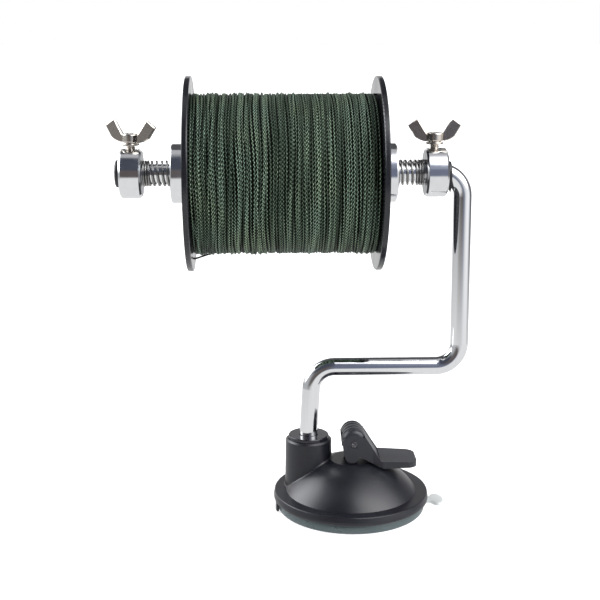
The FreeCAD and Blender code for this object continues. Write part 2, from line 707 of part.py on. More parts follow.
def main():
    os.makedirs("parts", exist_ok=True)
    rod = bent_rod()
    save(rod, "bent_rod")
    save(base_housing(), "base_housing")
    save(post_cap(), "post_cap")
    save(suction_pad(), "suction_pad")
    save(pull_stem(), "pull_stem")
    save(lever_pin(), "lever_pin")
    save(cam_lever(), "cam_lever")
    save(rod_end_cap(), "rod_end_cap")
    save(stop_ring(rod), "stop_ring")
    save(spool_core(), "spool_core")
    save(line_winding(), "line_winding")
    save(line_tail(), "line_tail")
    for side, name, stand in ((-1, "left", LEFT_STAND), (1, "right", RIGHT_STAND)):
        turn, lean, sunk = stand
        save(collar(side), "collar_" + name)
        save(screw_stud(side, sunk), "screw_stud_" + name)
        save(wing_head(side, turn, lean, sunk), "wing_head_" + name)
        save(spring(side), "spring_" + name)
        save(cone(side), "cone_" + name)
        save(spool_flange(side), "spool_flange_" + name)


main()
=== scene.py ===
"""Looks of the line spool stand: a suction base, a bent rod and a wound spool on its axle.

Metres, in the CAD frame: +Z up, +X along the axle towards the upright, the user at -Y.
"""
import json
import math
import random

import bpy
import numpy as np
from mathutils import Matrix, Vector


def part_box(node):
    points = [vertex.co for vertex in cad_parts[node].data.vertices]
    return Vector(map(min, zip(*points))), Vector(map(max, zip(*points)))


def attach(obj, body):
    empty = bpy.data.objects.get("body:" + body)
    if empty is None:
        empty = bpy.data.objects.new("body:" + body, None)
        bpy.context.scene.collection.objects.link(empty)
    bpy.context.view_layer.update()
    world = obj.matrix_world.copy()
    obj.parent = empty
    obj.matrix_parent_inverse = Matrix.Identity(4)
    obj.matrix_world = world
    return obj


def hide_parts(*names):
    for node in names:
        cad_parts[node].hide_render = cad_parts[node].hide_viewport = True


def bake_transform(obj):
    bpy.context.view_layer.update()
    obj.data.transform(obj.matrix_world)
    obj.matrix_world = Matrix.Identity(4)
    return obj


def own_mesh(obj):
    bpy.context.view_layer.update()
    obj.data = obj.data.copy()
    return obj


MM = 0.001
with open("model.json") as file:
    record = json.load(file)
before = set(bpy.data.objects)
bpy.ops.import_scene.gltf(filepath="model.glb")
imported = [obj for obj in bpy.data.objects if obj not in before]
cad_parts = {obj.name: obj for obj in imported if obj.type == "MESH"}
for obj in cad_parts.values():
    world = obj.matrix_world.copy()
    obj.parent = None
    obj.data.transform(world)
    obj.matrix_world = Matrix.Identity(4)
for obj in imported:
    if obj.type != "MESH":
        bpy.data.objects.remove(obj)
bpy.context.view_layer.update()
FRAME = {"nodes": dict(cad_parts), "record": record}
NODES = FRAME["nodes"]

# Camera
LENS = 69.6
CAMERA_AT = (-0.0407, -0.4875, 0.20678)
CAMERA_DOWN = math.radians(12.93)
CAMERA_RIGHT = math.radians(2.11)

# Axle: its height, its distance from the base's middle and the middle of the spool
PLANE_Y = 5.0 * MM
AXLE_Z = 149.1 * MM
SPOOL_X = -29.3 * MM
SPOOL_Z = AXLE_Z - 0.45 * MM
SIDES = {"left": -1, "right": 1}

# Wound line
LINE_R = 0.44 * MM
LINE_SIDES = 8
LINE_TWIST = 1.75 * MM         # from one bead of the braid to the next in its row
TURNS = 80
TURN_STEPS = 90
LAYER_R = 33.35 * MM           # centre line of the outer layer's turns
OVER_R = 33.85 * MM            # centre line of a strand that rides over them
OVER_STRANDS = 44
DIVE = 0.35 * MM               # how far below the outer layer such a strand ends
CLIMB_RATE = 6                 # it climbs in this part of its run, and dives in the same
OVER_LEAST_STEPS = 12
UNDER_R = 33.1 * MM            # smooth surface below the turns
CORE_R = 20.0 * MM             # the spool's core
LEAN = 0.22 * MM               # each wave's share in the turns' lean, sideways stray and rise
STRAY = 0.15 * MM
RISE = 0.09 * MM
WINDING_SEED = 11
TAIL_R = 0.42 * MM             # the line's free end
TAIL_SHADE_R = (34.4 * MM, 35.2 * MM)    # painted shade: the finish darkens between these radii, so the line's free end looks shaded

# Springs, as distances from the spool's middle along the axle
COLLAR_FACE = 60.0 * MM
CONE_FACE = 47.7 * MM
SPRING_GAP = 0.02 * MM
WIRE_R = 0.5 * MM
SPRING_R = 5.1 * MM
SPRING_START = COLLAR_FACE - SPRING_GAP - WIRE_R
SPRING_END = CONE_FACE + SPRING_GAP + WIRE_R
SPRING_STEPS = 40
DEAD_TURNS = 2.3               # closed turns at the collar, open turns, closed turns at the cone
LIVE_TURNS = 4.2
LAST_TURNS = 0.5
DEAD_PITCH = 1.06 * MM
LIVE_EASE = 0.02               # how softly the open turns start and end, as a share of them all

# Screw threads
THREAD_MAJOR = 2.0 * MM
THREAD_MINOR = 1.6 * MM
THREAD_PITCH = 0.7 * MM
THREAD_POINT = 0.5 * MM        # length over which the shank's tip tapers
THREAD_POINT_SHARE = 0.8       # its radius at the very tip, as a share
THREAD_SIDES = 32
THREAD_ROWS = 10               # rows of points in each pitch

# Lever pin
PIN_CHAMFER = 0.2 * MM
PIN_SIDES = 48
CROSS_DEPTH = 0.35 * MM        # crossed recess in each end; its width and reach are shares of the radius
CROSS_HALF_WIDTH = 0.16
CROSS_REACH = 0.72

# Suction pad: (height, radius) outlines of its two pieces, in millimetres
MIDDLE_OUTLINE = ((0.55, 0.01), (0.55, 12.0), (0.25, 20.0), (0.02, 23.2), (0.02, 23.8),
                  (0.5, 23.98), (3.0, 23.98), (3.38, 23.6), (3.4, 15.0), (3.4, 0.01))
LIP_OUTLINE = ((0.0, 24.4), (0.0, 27.0), (0.12, 27.4), (0.0, 27.8), (0.0, 31.4), (0.2, 32.2),
               (0.7, 32.7), (1.4, 32.88), (3.4, 32.9), (3.85, 32.78), (4.1, 32.4),
               (4.1, 28.2), (3.4, 26.0), (3.4, 24.3), (3.1, 24.02), (0.4, 24.02))
PAD_SHADE_EDGE_R = (33.0 * MM, 34.6 * MM)     # painted light and shade: between these radii the pad's finish turns from painted shadow, for the shade under the base, to the tab's painted pale floor light

# Pull tab, in millimetres: its waist as (x, half width), and its oval end
TAB_WAIST = ((29.7, 2.6), (32.6, 2.4), (34.0, 2.1), (35.2, 2.3))
TAB_OVAL_X = 39.1
TAB_OVAL_LONG = 3.1
TAB_OVAL_WIDE = 5.75
TAB_OVAL_FROM = 150.0          # degrees round the oval, where the waist meets it
TAB_STEPS = 16
TAB_TURN = math.radians(3.0)
TAB_Z = (0.3, 1.9)

# Studio walls and the band above them: (degrees round from the user's side, colour)
WALLS = [
    (-180, (0.95, 0.95, 0.96)), (-152, (0.95, 0.95, 0.96)), (-130, (0.36, 0.36, 0.37)),
    (-108, (0.47, 0.48, 0.49)), (-62, (0.47, 0.48, 0.49)), (-48, (0.33, 0.33, 0.34)),
    (-36, (0.16, 0.15, 0.15)), (-8, (0.115, 0.095, 0.088)), (-2, (0.13, 0.12, 0.13)),
    (4, (0.16, 0.18, 0.25)), (14, (0.20, 0.22, 0.29)), (27, (0.65, 0.66, 0.69)),
    (40, (0.88, 0.89, 0.91)), (55, (1.0, 1.0, 1.02)), (76, (1.0, 1.0, 1.02)),
    (88, (0.66, 0.67, 0.69)), (100, (0.14, 0.14, 0.15)), (114, (0.08, 0.08, 0.085)),
    (124, (0.22, 0.22, 0.23)), (141, (0.55, 0.55, 0.56)), (156, (0.95, 0.95, 0.96))]
UPPER_WALLS = [
    (-180, (0.09, 0.09, 0.095)), (-140, (0.09, 0.09, 0.095)), (-116, (0.34, 0.35, 0.37)),
    (-66, (0.34, 0.35, 0.37)), (-46, (0.065, 0.070, 0.090)), (-4, (0.067, 0.077, 0.103)),
    (4, (0.12, 0.13, 0.17)), (9, (0.31, 0.34, 0.43)), (24, (0.60, 0.62, 0.66)),
    (40, (0.90, 0.91, 0.93)), (84, (0.90, 0.91, 0.93)), (104, (0.12, 0.12, 0.13)),
    (130, (0.09, 0.09, 0.095))]
FLOOR_GLOW = (0.84, 0.84, 0.84)
CEILING_WHITE = (1.05, 1.05, 1.06)
CEILING_GREY = (0.50, 0.50, 0.52)
LEFT_BOX = 16.0                # strengths of the two soft boxes
RIGHT_BOX = 5.0
LIGHT_AIM_Z = 80.0 * MM
FLOOR_HALF = 20.0


# --------------------------------------------------------------- node helpers

class Graph:
    """A node tree with short calls for the nodes that the materials use."""

    MIX_A, MIX_B, MIX_OUT = 6, 7, 2    # the Mix node's colour sockets

    def __init__(self, tree):
        self.tree = tree

    def put(self, socket, value):
        """Links or sets one input."""
        if isinstance(value, bpy.types.NodeSocket):
            self.tree.links.new(value, socket)
        elif isinstance(value, (tuple, list)) and len(value) == 3 and socket.type == "RGBA":
            socket.default_value = (*value, 1.0)
        else:
            socket.default_value = value

    def node(self, kind, inputs=(), **settings):
        """A new node with its settings and inputs."""
        made = self.tree.nodes.new(kind)
        for key, value in settings.items():
            setattr(made, key, value)
        for key, value in dict(inputs).items():
            self.put(made.inputs[key], value)
        return made

    def math(self, operation, *values):
        """A math node."""
        return self.node("ShaderNodeMath", dict(enumerate(values)), operation=operation).outputs[0]

    def add(self, *values):
        """The sum of all the values."""
        total = values[0]
        for value in values[1:]:
            total = self.math("ADD", total, value)
        return total

    def times(self, *values):
        """The product of all the values."""
        total = values[0]
        for value in values[1:]:
            total = self.math("MULTIPLY", total, value)
        return total

    def step(self, value, low, high, to=(0.0, 1.0)):
        """A smooth step between two values."""
        made = self.node("ShaderNodeMapRange", interpolation_type="SMOOTHSTEP")
        for key, given in (("Value", value), ("From Min", low), ("From Max", high),
                           ("To Min", to[0]), ("To Max", to[1])):
            self.put(made.inputs[key], given)
        return made.outputs["Result"]

    def reach(self, a, b):
        """The distance from an axis, from two parts at right angles."""
        return self.math("SQRT", self.add(self.times(a, a), self.times(b, b)))

    def mix(self, share, a, b):
        """A colour between a and b."""
        made = self.node("ShaderNodeMix", data_type="RGBA")
        self.put(made.inputs[0], share)
        self.put(made.inputs[self.MIX_A], a)
        self.put(made.inputs[self.MIX_B], b)
        return made.outputs[self.MIX_OUT]

    def ramp(self, value, low, high, stops):
        """A colour that follows a list of (value, colour) stops between low and high."""
        share = self.node("ShaderNodeMapRange", {"Value": value, "From Min": low,
                                                 "From Max": high}).outputs["Result"]
        made = self.node("ShaderNodeValToRGB", {"Fac": share})
        elements = made.color_ramp.elements
        while len(elements) > 1:
            elements.remove(elements[-1])
        for index, (place, colour) in enumerate(stops):
            at = (place - low) / (high - low)
            element = elements[0] if index == 0 else elements.new(at)
            element.position = at
            element.color = (*colour, 1.0)
        return made.outputs["Color"]

    def toward(self, parts, azimuth, height, inner, outer):
        """1 for directions near one direction and 0 away from it, angles in degrees."""
        turn, lift = math.radians(azimuth), math.radians(height)
        aim = (math.sin(turn) * math.cos(lift), -math.cos(turn) * math.cos(lift),
               math.sin(lift))
        near = self.add(*(self.times(part, share) for part, share in zip(parts, aim)))
        return self.step(near, math.cos(math.radians(outer)), math.cos(math.radians(inner)))

    def noise(self, vector, scale, detail=2.0, rough=0.5):
        """Noise, about 0.5."""
        return self.node("ShaderNodeTexNoise", {"Vector": vector, "Scale": scale, "Detail": detail,
                                                "Roughness": rough}).outputs["Fac"]

    def bump(self, height, distance):
        """A bumped normal."""
        return self.node("ShaderNodeBump", {"Height": height, "Distance": distance,
                                            "Strength": 1.0}).outputs["Normal"]

    def coordinate(self, kind):
        """Object, UV, Normal or Generated coordinates."""
        return self.node("ShaderNodeTexCoord").outputs[kind]

    def place(self, scale=(1, 1, 1), kind="Object"):
        """Coordinates stretched by scale: position in metres, or another kind."""
        return self.node("ShaderNodeMapping", {"Vector": self.coordinate(kind),
                                               "Scale": scale}).outputs["Vector"]

    def split(self, vector):
        """The three parts of a vector."""
        made = self.node("ShaderNodeSeparateXYZ")
        self.put(made.inputs[0], vector)
        return made.outputs[0], made.outputs[1], made.outputs[2]


def material(name, **settings):
    """A new Principled material: (material, graph, shader)."""
    made = bpy.data.materials.new(name)
    made.use_nodes = True
    graph = Graph(made.node_tree)
    shader = made.node_tree.nodes["Principled BSDF"]
    for key, value in settings.items():
        graph.put(shader.inputs[key.replace("_", " ")], value)
    return made, graph, shader


def shade(graph, shader, **inputs):
    """Links or sets inputs of a shader by name."""
    for key, value in inputs.items():
        graph.put(shader.inputs[key.replace("_", " ")], value)


# ------------------------------------------------------------------ materials

def black_plastic(name, colour, roughness, grain, depth):
    """Moulded black plastic with a fine eroded grain and faint patches."""
    made, g, shader = material(name)
    patches = g.noise(g.place(), 60.0, 3.0)
    fine = g.noise(g.place(), grain, 4.0, 0.6)
    light = tuple(c * 1.25 for c in colour)
    shade(g, shader, Base_Color=g.mix(g.step(patches, 0.35, 0.65), colour, light),
          Roughness=g.step(patches, 0.2, 0.8, (roughness - 0.04, roughness + 0.05)),
          Normal=g.bump(fine, depth))
    return made


def polished_rod():
    """Polished aluminium with faint draw marks."""
    made, g, shader = material("rod_polished", Metallic=1.0)
    marks = g.noise(g.place((900, 900, 40)), 1.0, 3.0)
    shade(g, shader, Base_Color=g.mix(marks, (0.80, 0.81, 0.83), (0.87, 0.88, 0.89)),
          Roughness=g.step(marks, 0.3, 0.7, (0.05, 0.10)), Normal=g.bump(marks, 0.6e-6))
    return made


def turned_metal():
    """Turned aluminium: fine tool rings round the axle, and duller end faces."""
    made, g, shader = material("turned_aluminium", Metallic=1.0)
    rings = g.noise(g.place((9000, 30, 30)), 1.0)
    wear = g.noise(g.place(), 300.0, 3.0)
    facing = g.split(g.coordinate("Normal"))[0]
    end_face = g.step(g.math("ABSOLUTE", facing), 0.85, 0.97)
    side = g.mix(wear, (0.76, 0.77, 0.79), (0.86, 0.87, 0.88))
    face = g.mix(wear, (0.36, 0.37, 0.38), (0.48, 0.49, 0.50))
    shade(g, shader, Base_Color=g.mix(end_face, side, face),
          Roughness=g.add(g.step(wear, 0.3, 0.7, (0.07, 0.13)), g.times(end_face, 0.22)),
          Normal=g.bump(rings, 1.0e-6))
    return made


def nickel_plate():
    """Nickel-plated casting, slightly uneven."""
    made, g, shader = material("nickel_plate", Metallic=1.0)
    skin = g.noise(g.place(), 1400.0, 3.0)
    shade(g, shader, Base_Color=g.mix(skin, (0.60, 0.55, 0.49), (0.78, 0.74, 0.68)),
          Roughness=g.step(skin, 0.3, 0.7, (0.12, 0.2)), Normal=g.bump(skin, 8e-6))
    return made


def spring_wire():
    """Bright drawn wire, with draw lines along its length."""
    made, g, shader = material("spring_wire", Metallic=1.0)
    lines = g.noise(g.place((24, 60, 1), "UV"), 1.0)
    shade(g, shader, Base_Color=g.mix(lines, (0.34, 0.34, 0.33), (0.50, 0.49, 0.48)),
          Roughness=g.step(lines, 0.3, 0.7, (0.12, 0.2)), Normal=g.bump(lines, 3e-6))
    return made


def soft_rubber():
    """Matte black rubber with a dusty bloom."""
    made, g, shader = material("matte_rubber")
    bloom = g.noise(g.place(), 500.0, 4.0)
    shade(g, shader, Base_Color=g.mix(bloom, (0.010, 0.010, 0.012), (0.022, 0.022, 0.025)),
          Roughness=g.step(bloom, 0.3, 0.7, (0.42, 0.58)), Normal=g.bump(bloom, 15e-6))
    return made


def clear_pvc():
    """Soft PVC with painted light and shade: a painted dark grey-green shadow where the pad lies under
    the base, for the shade there seen through the clear PVC, and a painted pale tone on the tab, for the
    lit floor seen through its thin sheet.
    """
    made, g, shader = material("clear_pvc", IOR=1.5, Transmission_Weight=0.25)
    x, y, _ = g.split(g.place())
    # painted light and shade: this mask is 0 under the base, where the shade is painted, and 1 on the
    # tab, where the lit floor is painted
    thin = g.step(g.reach(x, y), *PAD_SHADE_EDGE_R)
    cloud = g.noise(g.place(), 90.0)
    # painted shadow tone for the pad under the base, and painted pale floor light for the tab; the cloud
    # noise varies both at random
    painted_shadow_tone = g.mix(cloud, (0.060, 0.086, 0.092), (0.085, 0.115, 0.120))
    painted_floor_light_tone = g.mix(cloud, (0.74, 0.77, 0.76), (0.84, 0.86, 0.85))
    shade(g, shader, Base_Color=g.mix(thin, painted_shadow_tone, painted_floor_light_tone),
          Roughness=g.step(cloud, 0.3, 0.7, (0.26, 0.34)), Normal=g.bump(cloud, 4e-6))
    return made


def ground_steel():
    """Ground steel of the lever's pin, darkened."""
    made, g, shader = material("pin_steel", Metallic=1.0)
    turned = g.noise(g.place((400, 4000, 400)), 1.0)
    shade(g, shader, Base_Color=g.mix(turned, (0.10, 0.10, 0.11), (0.20, 0.20, 0.21)),
          Roughness=0.42, Normal=g.bump(turned, 3e-6))
    return made


def braid_beads(g):
    """How high the braid stands: two rows of slanting beads, half a bead apart."""
    around, length, _ = g.split(g.coordinate("UV"))
    turns = g.times(length, 1.0 / LINE_TWIST)
    wobble = g.times(g.noise(g.place(), 500.0), 0.5)
    row = g.step(around, 0.47, 0.53, (0.0, 0.5))
    slant = g.times(g.math("ABSOLUTE", g.math("SUBTRACT", around, 0.5)), 1.1)
    bead = g.math("SINE", g.times(g.add(turns, row, wobble, slant), 2 * math.pi))
    return g.step(bead, -0.25, 1.0)


def braided_line():
    """Dark green braid with painted light and shade: painted light glints on the beads along the crest
    of each turn, painted near-black shade in the bead valleys, on the turns' lower flanks and between
    turns, and painted shade on the line's free end.
    """
    made, g, shader = material("green_braid", Specular_IOR_Level=0.2,
                               Specular_Tint=(0.75, 1.0, 0.80))
    lift = braid_beads(g)
    _, y, z = g.split(g.place())
    reach = g.reach(g.math("SUBTRACT", y, PLANE_Y), g.math("SUBTRACT", z, SPOOL_Z))
    # painted shade: this share darkens the turns' lower flanks and the gaps between them, and the line's
    # free end beyond the outer layer
    crest = g.times(g.step(reach, LAYER_R - 0.05 * MM, LAYER_R + 0.45 * MM),
                    g.step(reach, *TAIL_SHADE_R, (1.0, 0.2)))
    tone = g.step(g.noise(g.place((900, 14, 14)), 1.0), 0.40, 0.60)
    patch = g.step(g.noise(g.place(), 45.0), 0.35, 0.7)
    # painted highlight: the bright bead colour stands in for glints on the braid's beads; patch and tone
    # vary it at random
    light = g.mix(patch, (0.26, 0.37, 0.28), (0.30, 0.40, 0.27))
    bead = g.mix(g.add(0.3, g.times(tone, 0.7)), (0.005, 0.013, 0.006), light)
    # painted shade: near black for the shade in the bead valleys and between the turns
    gap = (0.0005, 0.001, 0.0005)
    shade(g, shader, Base_Color=g.mix(g.times(crest, lift), gap, bead),
          Roughness=g.step(lift, 0.0, 1.0, (0.8, 0.26)), Normal=g.bump(lift, 0.3 * MM))
    return made


def paint_cad_nodes():
    """Gives every CAD node its finish, and returns the finishes by slot."""
    finishes = {
        "housing": black_plastic("housing_abs", (0.008, 0.0085, 0.012), 0.33, 2600.0, 8e-6),
        "post_ring": black_plastic("ring_abs", (0.010, 0.010, 0.014), 0.16, 1200.0, 6e-6),
        "lever": black_plastic("lever_abs", (0.016, 0.017, 0.022), 0.38, 2200.0, 14e-6),
        "stem": black_plastic("stem_abs", (0.018, 0.018, 0.022), 0.5, 2200.0, 14e-6),
        "spool": black_plastic("spool_gloss", (0.009, 0.0095, 0.012), 0.16, 900.0, 4e-6),
        "rod": polished_rod(),
        "turned": turned_metal(),
        "nickel": nickel_plate(),
        "spring": spring_wire(),
        "rubber": soft_rubber(),
        "pad": clear_pvc(),
        "pin": ground_steel(),
        "line": braided_line(),
    }
    for row in FRAME["record"]["subparts"]:
        finish = finishes[row["material_slot"]]
        for held in NODES[row["node"]].material_slots:
            held.material = finish
    return finishes


# --------------------------------------------------------------- mesh helpers

def mesh_object(name, points, faces, finish, uvs=None):
    """A smooth-shaded mesh with one finish and, if given, a UV for each corner."""
    data = bpy.data.meshes.new(name)
    data.from_pydata([tuple(p) for p in points], [], faces)
    data.materials.append(finish)
    if uvs is not None:
        layer = data.uv_layers.new(name="UVMap")
        layer.data.foreach_set("uv", np.asarray(uvs, np.float32).ravel())
    data.shade_smooth()
    made = bpy.data.objects.new(name, data)
    bpy.context.scene.collection.objects.link(made)
    return made


def ring_faces(rows, around):
    """Quads between closed rings of points that follow each other."""
    faces = []
    for row in range(rows):
        for step in range(around):
            after = (step + 1) % around
            faces.append((row * around + step, row * around + after,
                          (row + 1) * around + after, (row + 1) * around + step))
    return faces


def capped_faces(rows, around):
    """The same, with a face over the first ring and over the last."""
    return ring_faces(rows, around) + [tuple(range(around - 1, -1, -1)),
                                       tuple(range(rows * around, (rows + 1) * around))]


def sweep(path, normals, radius, sides):
    """Points, faces and corner UVs of a round tube along a path, closed at both ends."""
    path = np.asarray(path, float)
    normals = np.asarray(normals, float)
    tangents = np.gradient(path, axis=0)
    tangents /= np.linalg.norm(tangents, axis=1)[:, None]
    normals = normals - tangents * np.sum(normals * tangents, axis=1)[:, None]
    normals /= np.linalg.norm(normals, axis=1)[:, None]
    across = np.cross(tangents, normals)
    turn = np.arange(sides) * 2 * math.pi / sides
    ring = (normals[:, None, :] * np.cos(turn)[None, :, None]
            + across[:, None, :] * np.sin(turn)[None, :, None])
    points = path[:, None, :] + ring * radius
    run = np.concatenate([[0], np.cumsum(np.linalg.norm(np.diff(path, axis=0), axis=1))])
    uvs = []
    for start, end in zip(run[:-1], run[1:]):
        for step in range(sides):
            low, high = step / sides, (step + 1) / sides
            uvs += [(low, start), (high, start), (high, end), (low, end)]
    uvs += [(0.5, run[0])] * sides
    uvs += [(0.5, run[-1])] * sides
    return points.reshape(-1, 3), capped_faces(len(path) - 1, sides), uvs


def join(parts):
    """One list of points, faces and UVs from several."""
    points, faces, uvs = [], [], []
    for some, quads, corners in parts:
        start = sum(len(p) for p in points)
        points.append(np.asarray(some, float))
        faces += [tuple(start + i for i in face) for face in quads]
        uvs += list(corners)
    return np.concatenate(points), faces, uvs


def lathe(outline, centre, axis, side, segments):
    """Points, faces and UVs of a closed outline of (along, radius) turned about an axis."""
    axis = np.asarray(axis, float)
    side = np.asarray(side, float)
    third = np.cross(axis, side)
    points, faces, uvs = [], [], []
    count = len(outline)
    for s in range(segments):
        turn = 2 * math.pi * s / segments
        out = side * math.cos(turn) + third * math.sin(turn)
        points += [np.asarray(centre) + axis * a + out * r for a, r in outline]
    for s in range(segments):
        t = (s + 1) % segments
        for i in range(count):
            k = (i + 1) % count
            faces.append((s * count + i, t * count + i, t * count + k, s * count + k))
            uvs += [(s / segments, i / count), ((s + 1) / segments, i / count),
                    ((s + 1) / segments, (i + 1) / count), (s / segments, (i + 1) / count)]
    return points, faces, uvs


# --------------------------------------------------------------- wound line

def spool_point(x, radius, angle):
    """A point round the spool: angle 0 is the top and a quarter turn faces the user."""
    return (x, PLANE_Y - radius * math.sin(angle), SPOOL_Z + radius * math.cos(angle))


def outward(angle):
    """The direction away from the spool's centre line."""
    return (0.0, -math.sin(angle), math.cos(angle))


def waves(draw, count, low, high):
    """Random sine waves: (times round a turn, change from turn to turn, phase)."""
    return [(draw.choice((1, 2, 3, 4)), draw.uniform(low, high), draw.uniform(0, 2 * math.pi))
            for _ in range(count)]


def ripple(parts, turn):
    """The sum of the waves at a turn number, which may be between whole turns."""
    angle = 2 * math.pi * turn
    return sum(math.sin(n * angle + change * turn + phase) for n, change, phase in parts)


def outer_layer(draw, low_x, high_x):
    """The last layer: one strand laid side by side, not quite evenly."""
    lean = waves(draw, 2, 0.05, 0.15)
    stray = waves(draw, 4, 0.6, 2.6)
    rise = waves(draw, 4, 0.8, 2.9)
    path, normals = [], []
    for step in range(TURNS * TURN_STEPS + 1):
        turn = step / TURN_STEPS
        angle = 2 * math.pi * turn
        inside = min(1.0, turn, TURNS - turn)
        x = low_x + (high_x - low_x) * turn / TURNS
        x += inside * (LEAN * ripple(lean, turn) + STRAY * ripple(stray, turn))
        radius = LAYER_R + RISE * ripple(rise, turn)
        path.append(spool_point(x, radius, angle))
        normals.append(outward(angle))
    return sweep(path, normals, LINE_R, LINE_SIDES)


def over_strand(draw, low_x, high_x):
    """A strand that climbs over its neighbours for part of a turn, and dives back."""
    span = draw.uniform(1.2, 3.0)
    middle = draw.uniform(0, 2 * math.pi)
    x = draw.uniform(low_x + 2 * MM, high_x - 2 * MM)
    drift = draw.choice((-1, 1)) * draw.uniform(0.8, 3.6) * MM
    steps = int(span * TURN_STEPS / (2 * math.pi)) + OVER_LEAST_STEPS
    path, normals = [], []
    for step in range(steps + 1):
        share = step / steps
        angle = middle + (share - 0.5) * span
        climb = min(1.0, CLIMB_RATE * share, CLIMB_RATE * (1 - share))
        climb = climb * climb * (3 - 2 * climb)
        radius = LAYER_R - DIVE + (OVER_R - LAYER_R + DIVE) * climb
        path.append(spool_point(x + drift * (share - 0.5), radius, angle))
        normals.append(outward(angle))
    return sweep(path, normals, LINE_R, LINE_SIDES)


def winding(finish):
    """The wound line: its outer layer, the strands that cross it and what lies below."""
    draw = random.Random(WINDING_SEED)
    low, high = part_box("line_winding")
    low_x = low.x + LINE_R
    high_x = high.x - LINE_R
    below = lathe([(low.x, CORE_R), (low.x, UNDER_R), (high.x, UNDER_R), (high.x, CORE_R)],
                  (0, PLANE_Y, SPOOL_Z), (1, 0, 0), (0, 0, 1), 96)
    parts = [below, outer_layer(draw, low_x, high_x)]
    parts += [over_strand(draw, low_x, high_x) for _ in range(OVER_STRANDS)]
    points, faces, uvs = join(parts)
    made = mesh_object("line_turns", points, faces, finish, uvs)
    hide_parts("line_winding")
    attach(made, "spool")


def tail(finish):
    """The line's free end: off the winding, across the gap and out through the flange."""
    low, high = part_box("line_tail")
    y = (low.y + high.y) / 2
    route = [(high.x + 1.2 * MM, high.z + 0.1 * MM), (high.x - 1.6 * MM, high.z - 0.55 * MM),
             (low.x + 7.4 * MM, low.z + 1.6 * MM), (low.x + 4.4 * MM, low.z + 0.52 * MM),
             (low.x + 2.2 * MM, low.z + 0.5 * MM), (low.x, low.z + 0.45 * MM)]
    curve = bpy.data.curves.new("tail_route", "CURVE")
    curve.dimensions = "3D"
    spline = curve.splines.new("NURBS")
    spline.points.add(len(route) - 1)
    for point, (x, z) in zip(spline.points, route):
        point.co = (x, y, z, 1)
    spline.order_u = 3
    spline.use_endpoint_u = True
    spline.resolution_u = 10
    holder = bpy.data.objects.new("tail_route", curve)
    line = bpy.data.meshes.new_from_object(holder)
    path = [tuple(v.co) for v in line.vertices]
    bpy.data.objects.remove(holder)
    points, faces, uvs = sweep(path, [(0, 1, 0)] * len(path), TAIL_R, 10)
    made = mesh_object("line_end", points, faces, finish, uvs)
    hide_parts("line_tail")
    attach(made, "spool")


# ---------------------------------------------------------- springs and threads

def spring(side_name, finish):
    """A compression spring: closed turns at the collar, open turns to the cone."""
    side = SIDES[side_name]
    total = DEAD_TURNS + LIVE_TURNS + LAST_TURNS
    dead = DEAD_TURNS * DEAD_PITCH
    last = LAST_TURNS * DEAD_PITCH
    live = SPRING_START - SPRING_END - dead - last
    path, normals = [], []
    for step in range(int(total * SPRING_STEPS) + 1):
        turn = step / SPRING_STEPS
        share = min(1.0, max(0.0, (turn - DEAD_TURNS) / LIVE_TURNS))
        eased = share - math.sin(2 * math.pi * share) * LIVE_EASE
        distance = SPRING_START - min(turn, DEAD_TURNS) * DEAD_PITCH - eased * live
        distance -= max(0.0, turn - DEAD_TURNS - LIVE_TURNS) * DEAD_PITCH
        angle = 2 * math.pi * turn * side
        out = (0.0, math.sin(angle), math.cos(angle))
        path.append((SPOOL_X + side * distance, PLANE_Y + SPRING_R * out[1],
                     AXLE_Z + SPRING_R * out[2]))
        normals.append(out)
    points, faces, uvs = sweep(path, normals, WIRE_R, 12)
    made = mesh_object("coil_" + side_name, points, faces, finish, uvs)
    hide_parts("spring_" + side_name)
    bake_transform(made)


def threaded_shank(side_name, finish):
    """The wing screw's threaded shank."""
    low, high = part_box("screw_stud_" + side_name)
    centre = ((low.x + high.x) / 2, (low.y + high.y) / 2)
    around = THREAD_SIDES
    rows = int((high.z - low.z) / THREAD_PITCH * THREAD_ROWS)
    points = []
    for row in range(rows + 1):
        z = low.z + (high.z - low.z) * row / rows
        past_point = min(1.0, (z - low.z) / THREAD_POINT)
        for step in range(around):
            turn = step / around
            wave = abs(((z - low.z) / THREAD_PITCH - turn) % 1.0 - 0.5) * 2
            crest = min(1.0, max(0.0, wave * 1.3 - 0.12))
            radius = THREAD_MINOR + (THREAD_MAJOR - THREAD_MINOR) * crest
            radius *= THREAD_POINT_SHARE + (1.0 - THREAD_POINT_SHARE) * past_point
            points.append((centre[0] + radius * math.cos(2 * math.pi * turn),
                           centre[1] + radius * math.sin(2 * math.pi * turn), z))
    made = mesh_object("thread_" + side_name, points, capped_faces(rows, around), finish)
    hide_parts("screw_stud_" + side_name)
    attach(made, "stud_" + side_name)


# ------------------------------------------------------------------ suction pad

def pad_crown(finish):
    """The pad's thick middle, hollowed a little below, with a mesh of its own."""
    outline = [(a * MM, r * MM) for a, r in MIDDLE_OUTLINE]
    points, faces, uvs = lathe(outline, (0, 0, 0), (0, 0, 1), (1, 0, 0), 96)
    made = mesh_object("pad_middle", points, faces, finish, uvs)
    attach(made, "base")
    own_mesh(made)


def pad_lip(finish):
    """The pad's thin lip with its pull tab, which stays on the table."""
    outline = [(a * MM, r * MM) for a, r in LIP_OUTLINE]
    ring = lathe(outline, (0, 0, 0), (0, 0, 1), (1, 0, 0), 128)
    points, faces, _ = join([ring, pull_tab()])
    made = mesh_object("pad_lip", points, faces, finish)
    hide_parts("suction_pad")
    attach(made, "base")


